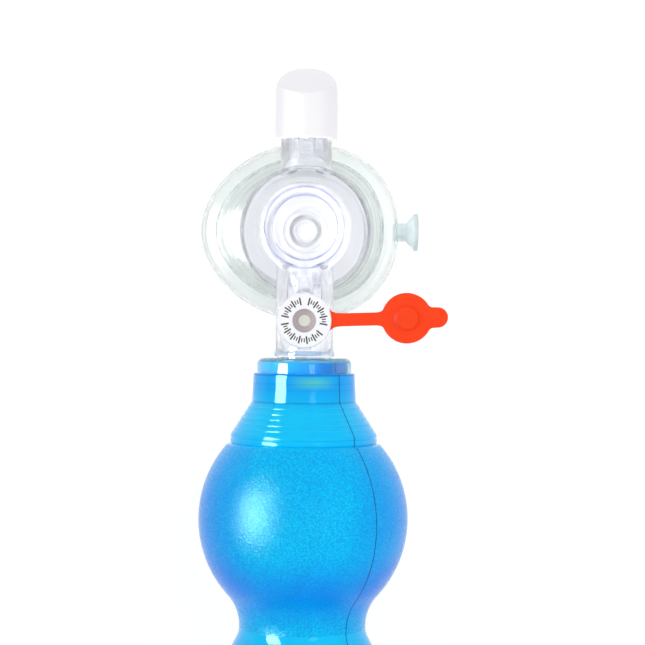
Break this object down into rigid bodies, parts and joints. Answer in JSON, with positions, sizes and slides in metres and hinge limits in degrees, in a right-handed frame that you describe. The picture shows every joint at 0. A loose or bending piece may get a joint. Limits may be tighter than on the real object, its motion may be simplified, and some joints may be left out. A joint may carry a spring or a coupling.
{
  "type": "bag valve mask",
  "caption": "Hand-squeezed resuscitator: face mask, swivelling patient valve with relief valve and override cap, squeeze bag and rear intake valve.",
  "frame": {"origin": "centre of the mouth of the patient port's 15 mm socket", "axes": "+Z along the patient valve's axis, up towards the dome; +Y along the bag's axis, from the bag towards the exhaust; +X towards the mask's chin and the override cap"},
  "size_m": [0.1212, 0.4105, 0.135],
  "materials": {
    "clear_housing": "clear moulded polycarbonate, glossy",
    "white_plastic": "satin moulded",
    "hood_plastic": "fine satin moulded",
    "label_plastic": "smooth satin with printed scale marks",
    "plunger_plastic": "satin moulded",
    "retainer_plastic": "satin moulded",
    "cream_plastic": "satin moulded",
    "inflation_plastic": "milky moulded",
    "blue_bag": "translucent, fine leather grain on the lobes, glossy necks",
    "mask_vinyl": "soft clear vinyl with a green tint, glossy",
    "orange_silicone": "smooth satin silicone",
    "valve_silicone": "milky silicone",
    "black_rubber": "smooth rubber",
    "spring_steel": "drawn spring wire"
  },
  "bodies": {
    "valve": {"lower_housing": "clear_housing", "upper_housing": "clear_housing", "diaphragm_retainer": "white_plastic", "exhaust_cage": "clear_housing", "popoff_body": "white_plastic", "popoff_spring": "spring_steel", "popoff_retainer": "retainer_plastic", "popoff_label": "label_plastic", "cap_strap": "orange_silicone", "inlet_oring": "black_rubber"},
    "lip": {"lip_valve": "valve_silicone"},
    "flap": {"exhaust_flap": "valve_silicone"},
    "hood": {"exhaust_deflector": "hood_plastic"},
    "plunger": {"popoff_plunger": "plunger_plastic"},
    "cap": {"override_cap": "orange_silicone"},
    "connector": {"patient_connector": "clear_housing", "connector_oring": "black_rubber"},
    "mask": {"mask_collar": "mask_vinyl", "mask_dome": "mask_vinyl", "mask_cushion": "mask_vinyl", "inflation_neck": "mask_vinyl", "inflation_bell": "inflation_plastic", "inflation_spring": "spring_steel"},
    "inflation": {"inflation_core": "spring_steel"},
    "bag": {"bag_connector": "cream_plastic", "neck_ring": "clear_housing", "squeeze_bag": "blue_bag"},
    "rear": {"intake_housing": "white_plastic", "rear_ring": "clear_housing", "reservoir_chamber": "clear_housing", "overflow_guard": "white_plastic", "oxygen_nipple": "clear_housing"},
    "intake": {"intake_flap": "valve_silicone"},
    "air_inlet": {"air_inlet_flap": "valve_silicone"},
    "overflow": {"overflow_flap": "valve_silicone"}
  },
  "joints": [
    {"name": "lip_lift", "type": "slide", "parent": "valve", "child": "lip", "axis": [0, 0, 1], "range_m": [0, 0.0012], "stiffness_N_per_m": 20},
    {"name": "exhaust_flap_lift", "type": "slide", "parent": "valve", "child": "flap", "axis": [0, 1, 0], "range_m": [0, 0.0012], "stiffness_N_per_m": 20},
    {"name": "hood_swivel", "type": "hinge", "parent": "valve", "child": "hood", "pos_m": [0, 0.0517, 0.0304], "axis": [0, 1, 0], "continuous": true},
    {"name": "plunger_lift", "type": "slide", "parent": "valve", "child": "plunger", "axis": [0, 0, 1], "range_m": [0, 0.0016], "stiffness_N_per_m": 150, "springref_m": -0.002, "deforming": ["popoff_spring"]},
    {"name": "cap_flip", "type": "hinge", "parent": "valve", "child": "cap", "pos_m": [0.02384, -0.04275, 0.07415], "axis": [0.0314, -0.9995, 0], "range_deg": [0, 178]},
    {"name": "connector_swivel", "type": "hinge", "parent": "valve", "child": "connector", "pos_m": [0, 0, 0.0174], "axis": [0, 0, 1], "continuous": true},
    {"name": "mask_pull", "type": "slide", "parent": "connector", "child": "mask", "axis": [0, 0, -1], "range_m": [0, 0.022]},
    {"name": "inflation_push", "type": "slide", "parent": "mask", "child": "inflation", "axis": [-1, 0, 0], "range_m": [0, 0.0012], "stiffness_N_per_m": 200, "springref_m": -0.001, "deforming": ["inflation_spring"]},
    {"name": "bag_swivel", "type": "hinge", "parent": "valve", "child": "bag", "pos_m": [0, -0.0611, 0.0575], "axis": [0, 1, 0], "continuous": true},
    {"name": "bag_squeeze", "type": "slide", "parent": "bag", "child": "rear", "axis": [0, 1, 0], "range_m": [0, 0.03], "stiffness_N_per_m": 400, "deforming": ["squeeze_bag"]},
    {"name": "intake_lift", "type": "slide", "parent": "rear", "child": "intake", "axis": [0, 1, 0], "range_m": [0, 0.001], "stiffness_N_per_m": 20},
    {"name": "air_inlet_lift", "type": "slide", "parent": "rear", "child": "air_inlet", "axis": [0, 1, 0], "range_m": [0, 0.0008], "stiffness_N_per_m": 20},
    {"name": "overflow_lift", "type": "slide", "parent": "rear", "child": "overflow", "axis": [-1, 0, 0], "range_m": [0, 0.001], "stiffness_N_per_m": 20}
  ]
}
